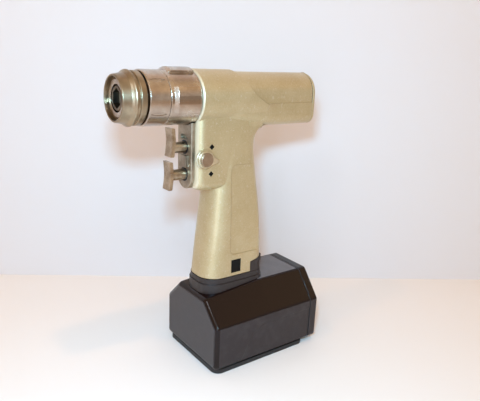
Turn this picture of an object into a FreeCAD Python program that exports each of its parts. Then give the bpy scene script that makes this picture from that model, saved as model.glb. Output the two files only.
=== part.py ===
"""Surgical power drill: pistol grip handpiece with two triggers, standing on its clip-on battery.

Frame: +Z up, the nose points along -Y, the mode selector is on the +X side, and the origin is under
the middle of the drill on the surface that the battery stands on. All lengths are millimetres.
"""
import FreeCAD, Part
import math
import os
import Sketcher
from types import SimpleNamespace

Vector = FreeCAD.Vector

SIZES = {
    # whole drill
    "overall_length": 177.0,
    "axis_height": 222.0,
    "running_gap": 0.06,
    "moving_gap": 0.4,
    "wire_bore": 2.1,
    # release sleeve on the nose
    "rim_radius": 16.7,
    "rim_edge": 0.4,
    "mouth_radius": 15.3,
    "mouth_depth": 3.9,
    "cone_length": 9.4,
    "flare_radius": 17.9,
    "flare_length": 2.8,
    "flange_radius": 20.0,
    "flange_width": 1.3,
    "sleeve_groove_radius": 18.3,
    "sleeve_groove_width": 2.1,
    "rear_flange_radius": 19.4,
    "rear_flange_width": 4.9,
    "sleeve_chamber_radius": 17.0,
    "sleeve_shoulder_width": 2.2,
    "key_width": 2.4,
    "key_length": 3.0,
    "key_height": 1.6,
    "key_angle": -10.0,
    # nose bush and output spindle
    "nose_bush_radius": 14.3,
    "nose_bush_face_radius": 13.5,
    "nose_bush_setback": 2.5,
    "nose_bush_bore": 9.8,
    "front_bearing_place": 15.0,
    "front_bearing_radius": 12.4,
    "front_bearing_width": 7.0,
    "spindle_head_radius": 8.8,
    "spindle_head_setback": 0.3,
    "spindle_radius": 8.0,
    "socket_across_flats": 12.8,
    "socket_depth": 5.0,
    "socket_bore": 5.4,
    "socket_bore_depth": 18.0,
    "spring_wire": 0.9,
    # barrel and speed collar
    "barrel_radius": 20.2,
    "barrel_gap": 1.0,
    "barrel_sleeve_length": 16.1,
    "barrel_tube_radius": 17.6,
    "barrel_bore": 11.0,
    "flute_length": 13.0,
    "flute_width": 2.4,
    "flute_depth": 0.5,
    "flute_angle": 47.5,
    "collar_length": 26.0,
    "lug_height": 2.2,
    "lug_angle": 52.0,
    "lug_setback": 1.6,
    "lug_ramp": 3.4,
    "rear_bearing_radius": 13.0,
    "rear_bearing_width": 7.0,
    "spigot_radius": 18.0,
    "spigot_length": 8.0,
    # reduction gear
    "gear_module": 0.75,
    "sun_teeth": 12,
    "planet_teeth": 15,
    "ring_teeth": 42,
    "gear_width": 9.0,
    "ring_gear_width": 11.0,
    "planet_pin_radius": 1.8,
    "carrier_radius": 12.4,
    "carrier_width": 4.0,
    # motor
    "motor_radius": 15.0,
    "stator_bore": 8.8,
    "stator_length": 46.0,
    "magnet_radius": 8.3,
    "shaft_radius": 3.2,
    "motor_bearing_radius": 7.0,
    "motor_bearing_width": 4.0,
    "end_plate_width": 5.0,
    # main housing, upper part
    "hood_radius": 21.2,
    "hood_length": 62.0,
    "hood_lip": 1.2,
    "band_half_width": 18.2,
    "band_drop": 22.6,
    "band_corner": 9.0,
    "crease_drop": 4.3,
    "inset_half_width": 17.5,
    "inset_rise": 19.7,
    "step_place": 37.0,
    "step_reach": 23.0,
    "rear_cover_width": 3.4,
    "rear_cover_spigot": 4.0,
    "rear_edge_round": 2.2,
    "rear_gasket": 0.8,
    "rear_screw_radius": 1.5,
    "rear_screw_reach": 7.0,
    "rear_screw_head": 2.6,
    # trigger head and grip
    "head_front": 28.0,
    "head_half_width": 15.5,
    "head_bottom": 150.7,
    "head_corner": 7.0,
    "grip_bottom": 74.7,
    "grip_front": 18.3,
    "grip_back": 40.7,
    "grip_half_width": 18.2,
    "grip_front_round": 15.0,
    "grip_back_round": 10.0,
    "grip_wall": 3.2,
    "grip_cavity_top": 144.0,
    "notch_front": 25.3,
    "notch_height": 9.0,
    "notch_slope": 4.0,
    "side_panel_front": 3.7,
    "side_panel_bottom": 93.7,
    "side_panel_top": 169.7,
    "side_panel_depth": 0.7,
    "side_panel_corner": 5.0,
    # trigger block and triggers
    "block_half_width": 10.3,
    "block_proud": 3.0,
    "block_depth": 24.0,
    "stem_radius": 4.3,
    "upper_stem_height": 184.3,
    "lower_stem_height": 162.9,
    "trigger_travel": 6.0,
    "pad_width": 10.0,
    "pad_length": 22.0,
    "pad_thickness": 3.0,
    "upper_pad_reach": 45.1,
    "lower_pad_reach": 46.7,
    "upper_pad_height": 188.7,
    "lower_pad_height": 163.0,
    "stem_seal_width": 1.4,
    "stem_seal_radius": 5.6,
    "block_boss_height": 2.0,
    "block_boss_half_width": 5.4,
    "block_screw_radius": 1.7,
    "trigger_spring_radius": 2.6,
    "trigger_spring_wire": 0.7,
    # mode selector
    "selector_along": 21.9,
    "selector_height": 176.5,
    "selector_boss_radius": 7.8,
    "selector_boss_height": 0.9,
    "selector_radius": 6.9,
    "selector_reach": 13.6,
    "selector_rest_angle": 10.0,
    "selector_thickness": 1.8,
    "selector_shaft_radius": 2.5,
    "selector_button_radius": 5.4,
    "selector_button_height": 1.4,
    # battery
    "battery_front": 23.0,
    "battery_width": 80.5,
    "battery_top": 66.7,
    "battery_side_top": 42.7,
    "battery_top_width": 41.8,
    "battery_front_top": 61.0,
    "deck_slope_end": 34.0,
    "battery_wall": 2.8,
    "side_relief": 0.6,
    "battery_edge_round": 4.6,
    "battery_front_round": 4.4,
    "rear_cap_length": 9.0,
    "rear_cap_seam": 0.8,
    "foot_thickness": 3.7,
    "foot_inset": 1.6,
    "foot_corner": 7.0,
    "neck_wall": 2.6,
    "neck_overhang": 1.1,
    "neck_gap": 0.4,
    "neck_step": 4.6,
    "post_half_width": 9.5,
    "post_front": 8.0,
    "post_back": 22.0,
    "post_height": 24.0,
    "contact_width": 1.6,
    "contact_height": 6.0,
    "board_margin": 3.0,
    "cell_frame_width": 2.0,
    "board_thickness": 1.6,
    "board_height": 38.0,
    "top_plate_width": 40.0,
    "top_plate_front": 33.0,
    "top_plate_thickness": 0.8,
    "cell_radius": 9.1,
    "cell_length": 65.0,
    "cell_pitch": 19.0,
    "latch_width": 16.0,
    "latch_height": 7.0,
    "latch_rise": 2.4,
    "latch_reach": 4.0,
    "latch_gap": 0.3,
    "latch_spring_radius": 2.0,
    "latch_spring_seat": 4.5,
    "latch_travel": 2.5,
}


class Size:
    """A length with its value and the sheet formula that gives it."""

    def __init__(self, value, text):
        self.value = value
        self.text = text

    def __add__(self, other):
        other = as_size(other)
        return Size(self.value + other.value, f"({self.text} + {other.text})")

    def __sub__(self, other):
        other = as_size(other)
        return Size(self.value - other.value, f"({self.text} - {other.text})")

    def __mul__(self, other):
        other = as_size(other)
        return Size(self.value * other.value, f"({self.text} * {other.text})")

    def __truediv__(self, other):
        other = as_size(other)
        return Size(self.value / other.value, f"({self.text} / {other.text})")

    def __neg__(self):
        return Size(-self.value, f"(-1 * {self.text})")

    def __radd__(self, other):
        return as_size(other) + self

    def __rsub__(self, other):
        return as_size(other) - self

    def __rmul__(self, other):
        return as_size(other) * self


def as_size(number):
    """A Size for a plain number, or the Size itself."""
    if isinstance(number, Size):
        return number
    return Size(float(number), repr(float(number)))


document = FreeCAD.newDocument("surgical_drill")
sheet = document.addObject("Spreadsheet::Sheet", "Sizes")
for row, (name, value) in enumerate(SIZES.items(), start=1):
    sheet.set(f"A{row}", name)
    sheet.set(f"B{row}", str(value))
    sheet.setAlias(f"B{row}", name)
document.recompute()
s = SimpleNamespace(**{name: Size(sheet.get(name), f"Sizes.{name}") for name in SIZES})

nodes = []


def bind(thing, property_name, size):
    """Ties a property to the sheet, or sets it where the size is a plain number."""
    size = as_size(size)
    if "Sizes." in size.text:
        thing.setExpression(property_name, size.text)
    return size.value


def new_body(label, lift=None):
    """A named body of the drill, lifted to the drill axis where its profile is turned about it."""
    body = document.addObject("PartDesign::Body", label)
    body.Label = label
    if lift is not None:
        bind(body, "Placement.Base.z", lift)
    nodes.append(body)
    return body


def sketch_on(body, role, offset=0.0):
    """A sketch on one of the body's own origin planes, moved along its normal by offset."""
    sketch = body.newObject("Sketcher::SketchObject", body.Name + "_sketch")
    plane = next(feature for feature in body.Origin.OriginFeatures if feature.Role == role)
    sketch.AttachmentSupport = [(plane, "")]
    sketch.MapMode = "FlatFace"
    offset = as_size(offset)
    sketch.AttachmentOffset = FreeCAD.Placement(Vector(0, 0, offset.value), FreeCAD.Rotation())
    bind(sketch, "AttachmentOffset.Base.z", offset)
    return sketch


def hold(sketch, kind, geometry, point, size):
    """Dimensions a point from the sketch's origin along one direction."""
    size = as_size(size)
    if size.text == "0.0":
        axis = -2 if kind == "DistanceX" else -1
        sketch.addConstraint(Sketcher.Constraint("PointOnObject", geometry, point, axis))
        return
    index = sketch.addConstraint(Sketcher.Constraint(kind, -1, 1, geometry, point, size.value))
    bind(sketch, f"Constraints[{index}]", size)


def outline(sketch, corners):
    """A closed outline through corners (across, up) or, with a rounding, (across, up, radius)."""
    spots = [Vector(as_size(c[0]).value, as_size(c[1]).value, 0) for c in corners]
    radii = [as_size(c[2]).value if len(c) > 2 else 0.0 for c in corners]
    count = len(corners)
    starts = []
    ends = []
    for i in range(count):
        to_next = (spots[(i + 1) % count] - spots[i]).normalize()
        to_last = (spots[i - 1] - spots[i]).normalize()
        reach = 0.0
        if radii[i]:
            half = to_next.getAngle(to_last) / 2
            reach = radii[i] / math.tan(half)
        starts.append(spots[i] + to_next * reach)
        ends.append(spots[i] + to_last * reach)
    lines = [
        sketch.addGeometry(Part.LineSegment(starts[i], ends[(i + 1) % count]), False) for i in range(count)
    ]
    for i, corner in enumerate(corners):
        before, after = lines[i - 1], lines[i]
        if not radii[i]:
            sketch.addConstraint(Sketcher.Constraint("Coincident", before, 2, after, 1))
            hold(sketch, "DistanceX", after, 1, corner[0])
            hold(sketch, "DistanceY", after, 1, corner[1])
            continue
        arc, left = corner_arc(spots[i], ends[i], starts[i], radii[i])
        geometry = sketch.addGeometry(arc, False)
        first, last = (1, 2) if left else (2, 1)
        sketch.addConstraint(Sketcher.Constraint("Tangent", before, 2, geometry, first))
        sketch.addConstraint(Sketcher.Constraint("Tangent", geometry, last, after, 1))
        index = sketch.addConstraint(Sketcher.Constraint("Radius", geometry, radii[i]))
        bind(sketch, f"Constraints[{index}]", corner[2])
        point = sketch.addGeometry(Part.Point(spots[i]), True)
        hold(sketch, "DistanceX", point, 1, corner[0])
        hold(sketch, "DistanceY", point, 1, corner[1])
        sketch.addConstraint(Sketcher.Constraint("PointOnObject", point, 1, before))
        sketch.addConstraint(Sketcher.Constraint("PointOnObject", point, 1, after))


def corner_arc(spot, start, end, radius):
    """The arc that rounds a corner from start to end, and whether the outline turns left there."""
    inward = ((start - spot) + (end - spot)).normalize()
    away = math.hypot((start - spot).Length, radius)
    centre = spot + inward * away
    left = (spot - start).cross(end - spot).z > 0
    first = math.atan2(start.y - centre.y, start.x - centre.x)
    last = math.atan2(end.y - centre.y, end.x - centre.x)
    if not left:
        first, last = last, first
    circle = Part.Circle(centre, Vector(0, 0, 1), radius)
    return Part.ArcOfCircle(circle, first, last if last > first else last + 2 * math.pi), left


def circle(sketch, across, up, radius):
    """A circle held at its centre and radius."""
    across, up, radius = as_size(across), as_size(up), as_size(radius)
    centre = Vector(across.value, up.value, 0)
    geometry = sketch.addGeometry(Part.Circle(centre, Vector(0, 0, 1), radius.value), False)
    hold(sketch, "DistanceX", geometry, 3, across)
    hold(sketch, "DistanceY", geometry, 3, up)
    index = sketch.addConstraint(Sketcher.Constraint("Radius", geometry, radius.value))
    bind(sketch, f"Constraints[{index}]", radius)


def pad(body, sketch, length, kind="Pad", backwards=False, both_ways=False):
    """Pads a sketch, or cuts it as a pocket, by a length along its normal."""
    feature = body.newObject("PartDesign::" + kind, body.Name + "_" + kind.lower())
    feature.Profile = sketch
    feature.Length = as_size(length).value
    bind(feature, "Length", length)
    feature.Reversed = backwards
    feature.Midplane = both_ways
    return feature


def front_edge(along, radius, bevel):
    """The two corners of a bevelled outer edge that faces the nose."""
    return [(along, radius - bevel), (along + bevel, radius)]


def back_edge(along, radius, bevel):
    """The two corners of a bevelled outer edge that faces the tail."""
    return [(along - bevel, radius), (along, radius - bevel)]


def turned(label, corners, lift):
    """A body turned about the drill axis from a profile of (along, radius) corners."""
    body = new_body(label, lift)
    sketch = sketch_on(body, "YZ_Plane")
    outline(sketch, corners)
    turn = body.newObject("PartDesign::Revolution", label + "_turn")
    turn.Profile = sketch
    turn.ReferenceAxis = (sketch, ["H_Axis"])
    turn.Angle = 360
    return body


def repeated(body, feature, count, angle=360.0):
    """Repeats a feature of the body around the drill axis."""
    pattern = body.newObject("PartDesign::PolarPattern", body.Name + "_pattern")
    axis = next(item for item in body.Origin.OriginFeatures if item.Role == "Y_Axis")
    pattern.Originals = [feature]
    pattern.Axis = (axis, [""])
    pattern.Angle = angle
    pattern.Occurrences = count
    body.Tip = pattern
    return pattern


def eased(body, size, choose, kind="Fillet"):
    """Fillets or chamfers the edges of the body that choose accepts."""
    document.recompute()
    tip = body.Tip
    edges = [f"Edge{i}" for i, edge in enumerate(tip.Shape.Edges, start=1) if choose(edge)]
    feature = body.newObject("PartDesign::" + kind, body.Name + "_" + kind.lower())
    feature.Base = (tip, edges)
    name = "Radius" if kind == "Fillet" else "Size"
    setattr(feature, name, as_size(size).value)
    bind(feature, name, size)
    return feature


def is_rim(edge, along, radius):
    """Whether an edge is an arc of a given radius about a line along Y, at a given place along it."""
    if edge.Curve.TypeId != "Part::GeomCircle" or abs(middle(edge).y - along) > 0.01:
        return False
    return abs(edge.Curve.Radius - radius) < 0.01


def middle(edge):
    """The middle point of an edge."""
    return edge.valueAt((edge.FirstParameter + edge.LastParameter) / 2)


def runs_along(edge, axis):
    """Whether an edge is straight and parallel to an axis, given as 0, 1 or 2."""
    if edge.Curve.TypeId != "Part::GeomLine":
        return False
    return abs(abs(edge.Curve.Direction[axis]) - 1) < 1e-6


# stations along the drill axis, from the nose to the tail
nose = -s.overall_length / 2
tail = s.overall_length / 2
sleeve_back = nose + s.cone_length + s.flange_width + s.sleeve_groove_width + s.rear_flange_width
barrel_front = sleeve_back + s.barrel_gap
collar_front = barrel_front + s.barrel_sleeve_length
housing_front = collar_front + s.collar_length + s.moving_gap
gear_front = housing_front + s.spigot_length
gear_back = gear_front + s.ring_gear_width
bush_front = nose + s.nose_bush_setback
bearing_front = nose + s.front_bearing_place
bearing_back = bearing_front + s.front_bearing_width
rear_bearing_front = housing_front - s.rear_bearing_width - 6.0
carrier_front = gear_front - s.carrier_width - 1.0
orbit = s.gear_module * (s.sun_teeth + s.planet_teeth) / 2
stator_front = gear_back + s.end_plate_width
stator_back = stator_front + s.stator_length
cover_front = tail - s.rear_cover_width - s.rear_gasket
rear_screw_places = [
    (-s.band_half_width + 7.4, -s.band_drop + 5.4), (s.band_half_width - 7.4, -s.band_drop + 5.4),
    (0.0, s.inset_rise - 2.3),
]
axis = s.axis_height
chamber_front = bush_front + s.key_length + 0.8
stop_front = chamber_front + s.moving_gap
block_front = -s.head_front - s.block_proud
block_back = block_front + s.block_depth
block_middle = (s.upper_stem_height + s.lower_stem_height) / 2
block_screw_heights = [block_middle + 2.6, block_middle - 2.6]
stem_back = block_back - 1.5 - s.trigger_travel - 6.0
selector_face = s.head_half_width + s.selector_boss_height + 0.3
battery_seam = tail - s.rear_cap_length
neck_top = s.grip_bottom - s.neck_gap
neck_bottom = s.battery_front_top - s.battery_wall - 0.6
contact_places = [s.post_half_width * share for share in (-0.55, 0.0, 0.55)]


def release_sleeve():
    """Quick-connect sleeve: a flared front, two flanges and a spring chamber, keyed to the nose bush."""
    bore = s.nose_bush_radius + s.moving_gap
    flange = nose + s.cone_length
    groove = flange + s.flange_width
    rear = groove + s.sleeve_groove_width
    mouth_floor = nose + s.mouth_depth
    shoulder = sleeve_back - s.sleeve_shoulder_width
    flare = flange - s.flare_length
    swell = s.flange_radius - s.flare_radius
    body = turned("release_sleeve", [
        (mouth_floor, bore), (mouth_floor, s.mouth_radius), (nose, s.mouth_radius),
        *front_edge(nose, s.rim_radius, s.rim_edge),
        (flare, s.flare_radius), (flare + s.flare_length * 0.45, s.flare_radius + swell * 0.45),
        (flange - s.flare_length * 0.2, s.flange_radius - swell * 0.12), (flange, s.flange_radius),
        *back_edge(groove, s.flange_radius, 0.4),
        (groove, s.sleeve_groove_radius), (rear, s.sleeve_groove_radius),
        *front_edge(rear, s.rear_flange_radius, 0.5), *back_edge(sleeve_back, s.rear_flange_radius, 0.6),
        (sleeve_back, bore), (shoulder, bore),
        (shoulder, s.sleeve_chamber_radius), (chamber_front, s.sleeve_chamber_radius),
        (chamber_front, bore),
    ], axis)
    sketch = sketch_on(body, "XZ_Plane", -bush_front)
    inner = s.nose_bush_radius - s.key_height
    outer = s.mouth_radius + 0.5
    half = s.key_width / 2
    outline(sketch, [(inner, -half), (outer, -half), (outer, half), (inner, half)])
    key = pad(body, sketch, s.key_length, backwards=True)
    repeated(body, key, 2)
    body.Placement.Rotation = FreeCAD.Rotation(Vector(0, 1, 0), s.key_angle.value)


def nose_bush():
    """Fixed bush that carries the front bearing; two slots in its rim take the sleeve's keys."""
    back = bearing_back + 3.0
    body = turned("nose_bush", [
        (bush_front, s.nose_bush_bore), *front_edge(bush_front, s.nose_bush_face_radius, 0.3),
        (bush_front + 1.0, s.nose_bush_face_radius), (bush_front + 1.4, s.nose_bush_radius),
        (back, s.nose_bush_radius),
        (back, s.front_bearing_radius), (bearing_front, s.front_bearing_radius),
        (bearing_front, s.nose_bush_bore),
    ], axis)
    sketch = sketch_on(body, "XZ_Plane", -bush_front)
    inner = s.nose_bush_radius - s.key_height - s.moving_gap
    outer = s.nose_bush_radius + 1.0
    half = s.key_width / 2 + 0.3
    outline(sketch, [(inner, -half), (outer, -half), (outer, half), (inner, half)])
    slot = pad(body, sketch, s.key_length + 0.6, "Pocket", backwards=False)
    repeated(body, slot, 2)
    body.Placement.Rotation = FreeCAD.Rotation(Vector(0, 1, 0), s.key_angle.value)


def coil(label, front, back, radius, wire, turns, across=0.0, height=None):
    """A coil spring of square wire along Y, from front to back, round a line at the given place."""
    height = axis if height is None else height
    length = back.value - front.value - wire.value
    side = wire.value / 2
    helix = Part.makeHelix(length / turns, length, radius.value)
    corners = ((-1, -1), (1, -1), (1, 1), (-1, 1), (-1, -1))
    square = Part.makePolygon([Vector(radius.value + x * side, 0, z * side) for x, z in corners])
    spring = document.addObject("Part::Feature", label)
    spring.Label = label
    spring.Shape = Part.Wire(helix.Edges).makePipeShell([square], True, True)
    place = Vector(as_size(across).value, front.value + side, height.value)
    spring.Placement = FreeCAD.Placement(place, FreeCAD.Rotation(Vector(1, 0, 0), -90))
    nodes.append(spring)


def sleeve_spring():
    """Coil spring in the chamber between the stop ring and the sleeve's shoulder."""
    radius = (s.nose_bush_radius + s.sleeve_chamber_radius) / 2
    back = sleeve_back - s.sleeve_shoulder_width - 0.2
    coil("sleeve_spring", stop_front + 1.0, back, radius, s.spring_wire, 3)


def stop_ring():
    """Snap ring on the nose bush that the sleeve spring pushes against."""
    turned("stop_ring", [
        (stop_front, s.nose_bush_radius), (stop_front, s.sleeve_chamber_radius - 0.5),
        (stop_front + 0.8, s.sleeve_chamber_radius - 0.5), (stop_front + 0.8, s.nose_bush_radius),
    ], axis)


def output_spindle():
    """Output spindle: driving socket in front, bearing seats, and the planet carrier behind."""
    head = bush_front + s.spindle_head_setback
    neck = bearing_front - 0.5
    carrier = carrier_front
    back = carrier + s.carrier_width
    throat = head + s.socket_depth
    floor = throat + s.socket_bore_depth
    body = turned("output_spindle", [
        (head, s.socket_bore), *front_edge(head, s.spindle_head_radius, 0.5), (neck, s.spindle_head_radius),
        (neck, s.spindle_radius), (carrier, s.spindle_radius), (carrier, s.carrier_radius),
        (back, s.carrier_radius), (back, s.wire_bore + 0.2), (floor + 2.0, s.wire_bore + 0.2),
        (floor, s.socket_bore),
    ], axis)
    sketch = sketch_on(body, "XZ_Plane", -head)
    corner_reach = s.socket_across_flats / 2 / math.cos(math.radians(30))
    corners = [30 + 60 * i for i in range(6)]
    outline(sketch, [
        (corner_reach * math.cos(math.radians(a)), corner_reach * math.sin(math.radians(a))) for a in corners
    ])
    pad(body, sketch, s.socket_depth, "Pocket", backwards=False)


def bearing(label, front, width, bore, radius):
    """A ball bearing as one ring with a groove between its races on the front face."""
    gap = (radius - bore) * 0.3
    sink = 0.5
    return turned(label, [
        (front, bore), (front, bore + gap), (front + sink, bore + gap), (front + sink, radius - gap),
        (front, radius - gap), (front, radius), (front + width, radius), (front + width, bore),
    ], axis)


def barrel_sleeve():
    """Fluted front barrel with the long tube that the speed collar turns on."""
    seat = rear_bearing_front
    body = turned("barrel_sleeve", [
        (barrel_front, s.nose_bush_radius), *front_edge(barrel_front, s.barrel_radius, 0.6),
        (collar_front, s.barrel_radius), (collar_front, s.barrel_tube_radius),
        (housing_front, s.barrel_tube_radius), (housing_front, s.spigot_radius),
        (gear_front, s.spigot_radius), (gear_front, s.rear_bearing_radius),
        (seat, s.rear_bearing_radius), (seat, s.barrel_bore), (bearing_back + 3.0, s.barrel_bore),
        (bearing_back + 3.0, s.nose_bush_radius),
    ], axis)
    sketch = sketch_on(body, "XY_Plane", s.barrel_radius - s.flute_depth)
    front = barrel_front + 1.5
    back = front + s.flute_length
    half = s.flute_width / 2
    swell = s.flute_length * 0.3
    outline(sketch, [
        (0.0, front), (half, front + swell), (half, back - swell), (0.0, back), (-half, back - swell),
        (-half, front + swell),
    ])
    flute = pad(body, sketch, 3.0, "Pocket", backwards=True)
    repeated(body, flute, 5)
    body.Placement.Rotation = FreeCAD.Rotation(Vector(0, 1, 0), s.flute_angle.value)


def speed_collar():
    """Turning collar that picks drill or ream speed, with three grip lugs."""
    back = collar_front + s.collar_length
    front = collar_front + s.moving_gap
    bore = s.barrel_tube_radius + s.running_gap
    body = turned("speed_collar", [
        (front, bore), *front_edge(front, s.barrel_radius, 0.3), *back_edge(back, s.barrel_radius, 0.3),
        (back, bore),
    ], axis)
    lug = body.newObject("Sketcher::SketchObject", "speed_collar_lug")
    plane = next(feature for feature in body.Origin.OriginFeatures if feature.Role == "YZ_Plane")
    lug.AttachmentSupport = [(plane, "")]
    lug.MapMode = "FlatFace"
    top = s.barrel_radius + s.lug_height
    root_radius = s.barrel_radius - 1.0
    lug_front = front + s.lug_setback
    lug_back = back - s.lug_setback
    outline(lug, [
        (lug_front, root_radius), (lug_front + s.lug_ramp, top), *back_edge(lug_back, top, 0.7),
        (lug_back, root_radius),
    ])
    turn = body.newObject("PartDesign::Revolution", "speed_collar_lug_turn")
    turn.Profile = lug
    turn.ReferenceAxis = (lug, ["H_Axis"])
    turn.Angle = s.lug_angle.value
    bind(turn, "Angle", s.lug_angle)
    turn.Midplane = True
    repeated(body, turn, 3, 180.0)
    body.Placement.Rotation = FreeCAD.Rotation(Vector(0, 1, 0), -90)


def gear(label, front, width, teeth, bore, spacing=None):
    """A spur gear on the drill axis with straight-sided tooth spaces."""
    tip = s.gear_module * (teeth / 2 + 1.0)
    body = turned(label, [(front, bore), (front, tip), (front + width, tip), (front + width, bore)], axis)
    sketch = sketch_on(body, "XZ_Plane", -front)
    root_radius = s.gear_module * (teeth / 2 - 1.25)
    root_half = s.gear_module * 0.65
    tip_half = s.gear_module * 1.42
    outline(sketch, [
        (-root_half, root_radius), (root_half, root_radius), (tip_half, tip + 0.05), (-tip_half, tip + 0.05),
    ])
    space = pad(body, sketch, width, "Pocket", backwards=False)
    repeated(body, space, int(round(teeth.value)))
    return body


def ring_gear():
    """Internal gear fixed in the housing ahead of the motor."""
    root_radius = s.gear_module * (s.ring_teeth / 2 + 1.25)
    tip = s.gear_module * (s.ring_teeth / 2 - 1.0)
    body = turned("ring_gear", [
        (gear_front, tip), (gear_front, s.spigot_radius), (gear_back, s.spigot_radius), (gear_back, tip),
    ], axis)
    sketch = sketch_on(body, "XZ_Plane", -gear_front)
    root_half = s.gear_module * 0.5
    tip_half = s.gear_module * 1.34
    outline(sketch, [
        (-tip_half, tip - 0.1), (tip_half, tip - 0.1), (root_half, root_radius), (-root_half, root_radius),
    ])
    space = pad(body, sketch, s.ring_gear_width, "Pocket", backwards=False)
    repeated(body, space, int(round(s.ring_teeth.value)))
    body.Placement.Rotation = FreeCAD.Rotation(Vector(0, 1, 0), 180 / s.ring_teeth.value)


def planet_gears():
    """Three planet gears between the sun pinion and the ring gear."""
    for number in range(3):
        front = gear_front + 0.8
        body = gear(f"planet_gear_{number + 1}", front, s.gear_width, s.planet_teeth,
                    s.planet_pin_radius + s.running_gap)
        angle = math.radians(90 + 120 * number)
        across = math.cos(angle)
        up = math.sin(angle)
        bind(body, "Placement.Base.x", orbit * across)
        bind(body, "Placement.Base.z", axis + orbit * up)
        own_turn = math.degrees(angle) - 90
        body.Placement.Rotation = FreeCAD.Rotation(Vector(0, 1, 0), -own_turn)


def planet_pins():
    """Three pins pressed into the carrier, one through each planet gear."""
    body = new_body("planet_pins", axis)
    sketch = sketch_on(body, "XZ_Plane", -(carrier_front + s.carrier_width))
    circle(sketch, 0.0, orbit, s.planet_pin_radius)
    pin = pad(body, sketch, s.gear_width + 1.2, backwards=True)
    repeated(body, pin, 3)
    body.Placement.Rotation = FreeCAD.Rotation(Vector(0, 1, 0), 0)


def rotor():
    """Motor shaft with the rotor magnets, bored through for the guide wire."""
    front = gear_front + 0.8
    back = stator_back + s.end_plate_width + 3.0
    magnet_front = stator_front + 4.0
    magnet_back = stator_back - 4.0
    turned("rotor", [
        (front, s.wire_bore), (front, s.shaft_radius - 0.7), (front + s.gear_width, s.shaft_radius - 0.7),
        (front + s.gear_width, s.shaft_radius), (magnet_front, s.shaft_radius),
        (magnet_front, s.magnet_radius), (magnet_back, s.magnet_radius), (magnet_back, s.shaft_radius),
        (back, s.shaft_radius), (back, s.wire_bore),
    ], axis)


def motor_stator():
    """Stator can of the brushless motor."""
    turned("motor_stator", [
        (stator_front, s.stator_bore), (stator_front, s.motor_radius), (stator_back, s.motor_radius),
        (stator_back, s.stator_bore),
    ], axis)


def motor_end_plates():
    """Front and rear plates that hold the rotor bearings."""
    turned("motor_front_plate", [
        (gear_back, s.shaft_radius + 0.6), (gear_back, s.spigot_radius),
        (gear_back + 2.0, s.spigot_radius), (gear_back + 2.0, s.motor_radius),
        (stator_front, s.motor_radius), (stator_front, s.motor_bearing_radius),
        (stator_front - s.motor_bearing_width, s.motor_bearing_radius),
        (stator_front - s.motor_bearing_width, s.shaft_radius + 0.6),
    ], axis)
    back = stator_back + s.end_plate_width
    turned("motor_rear_plate", [
        (stator_back, s.motor_bearing_radius), (stator_back, s.motor_radius), (back, s.motor_radius),
        (back, s.shaft_radius + 0.6), (stator_back + s.motor_bearing_width, s.shaft_radius + 0.6),
        (stator_back + s.motor_bearing_width, s.motor_bearing_radius),
    ], axis)


def main_housing():
    """Hollow one-piece housing: round hood, inset rear body, trigger head and tapering grip."""
    body = new_body("main_housing")
    wide = s.head_half_width
    corner = s.head_corner
    head = sketch_on(body, "XY_Plane", s.head_bottom)
    outline(head, [
        (-wide, -s.head_front, corner), (wide, -s.head_front, corner), (wide, 20.0), (-wide, 20.0),
    ])
    pad(body, head, axis - s.head_bottom - 8.0)
    bottom = s.head_bottom.value
    eased(body, 6.0, lambda edge: abs(middle(edge).z - bottom) < 0.01 and middle(edge).y < 19.9)
    grip_sections(body, 0.0, "AdditiveLoft")
    hood = sketch_on(body, "XZ_Plane", -housing_front)
    circle(hood, 0.0, axis, s.hood_radius)
    pad(body, hood, s.hood_length, backwards=True)
    lip = housing_front.value
    eased(body, s.hood_lip, lambda edge: is_rim(edge, lip, s.hood_radius.value), "Chamfer")
    band_end = cover_front
    sections = []
    for place, half, drop, rounding in (
        (housing_front + 12.0, s.band_half_width - 0.4, s.band_drop - 2.2, s.band_half_width - 1.2),
        (housing_front + s.hood_length - 4.0, s.band_half_width, s.band_drop, s.band_corner),
    ):
        section = sketch_on(body, "XZ_Plane", -place)
        outline(section, [
            (-half, axis), (-half, axis - drop, rounding), (half, axis - drop, rounding), (half, axis),
        ])
        sections.append(section)
    loft = body.newObject("PartDesign::AdditiveLoft", "housing_flare")
    loft.Profile = sections[0]
    loft.Sections = sections[1:]
    pad(body, sections[1], band_end - (housing_front + s.hood_length - 4.0), backwards=True)
    step = sketch_on(body, "YZ_Plane")
    step_top = housing_front + s.step_place
    step_end = step_top + s.step_reach
    crease = axis - s.crease_drop
    outline(step, [
        (step_top - 3.0, axis + s.hood_radius + 1.0), (step_top + 1.0, axis + 17.0, 6.0),
        (step_top + s.step_reach * 0.42, axis + 4.5, 20.0), (step_end, crease, 10.0), (tail + 1.0, crease),
        (tail + 1.0, axis + s.hood_radius + 1.0),
    ])
    pad(body, step, 60.0, "Pocket", both_ways=True)
    inset = sketch_on(body, "XZ_Plane", -(step_top - 6.0))
    half = s.inset_half_width
    rise = s.inset_rise
    outline(inset, [
        (-half, crease - 2.0), (half, crease - 2.0), (half, axis + rise, half - 0.5),
        (-half, axis + rise, half - 0.5),
    ])
    pad(body, inset, cover_front - (step_top - 6.0), backwards=True)
    boss = sketch_on(body, "YZ_Plane", s.head_half_width - 0.5)
    circle(boss, -s.selector_along, s.selector_height, s.selector_boss_radius)
    pad(body, boss, s.selector_boss_height + 0.5)
    hollow(body)
    side_panels(body)


def cover_outline(sketch, shrink=0.0):
    """The outline of the housing's rear end, made smaller all round by shrink."""
    half = s.inset_half_width - shrink
    top = axis + s.inset_rise - shrink
    low = axis - s.band_drop + shrink
    outline(sketch, [
        (-half, low, s.band_corner - 0.7), (half, low, s.band_corner - 0.7), (half, top, half - 0.5),
        (-half, top, half - 0.5),
    ])


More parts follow.
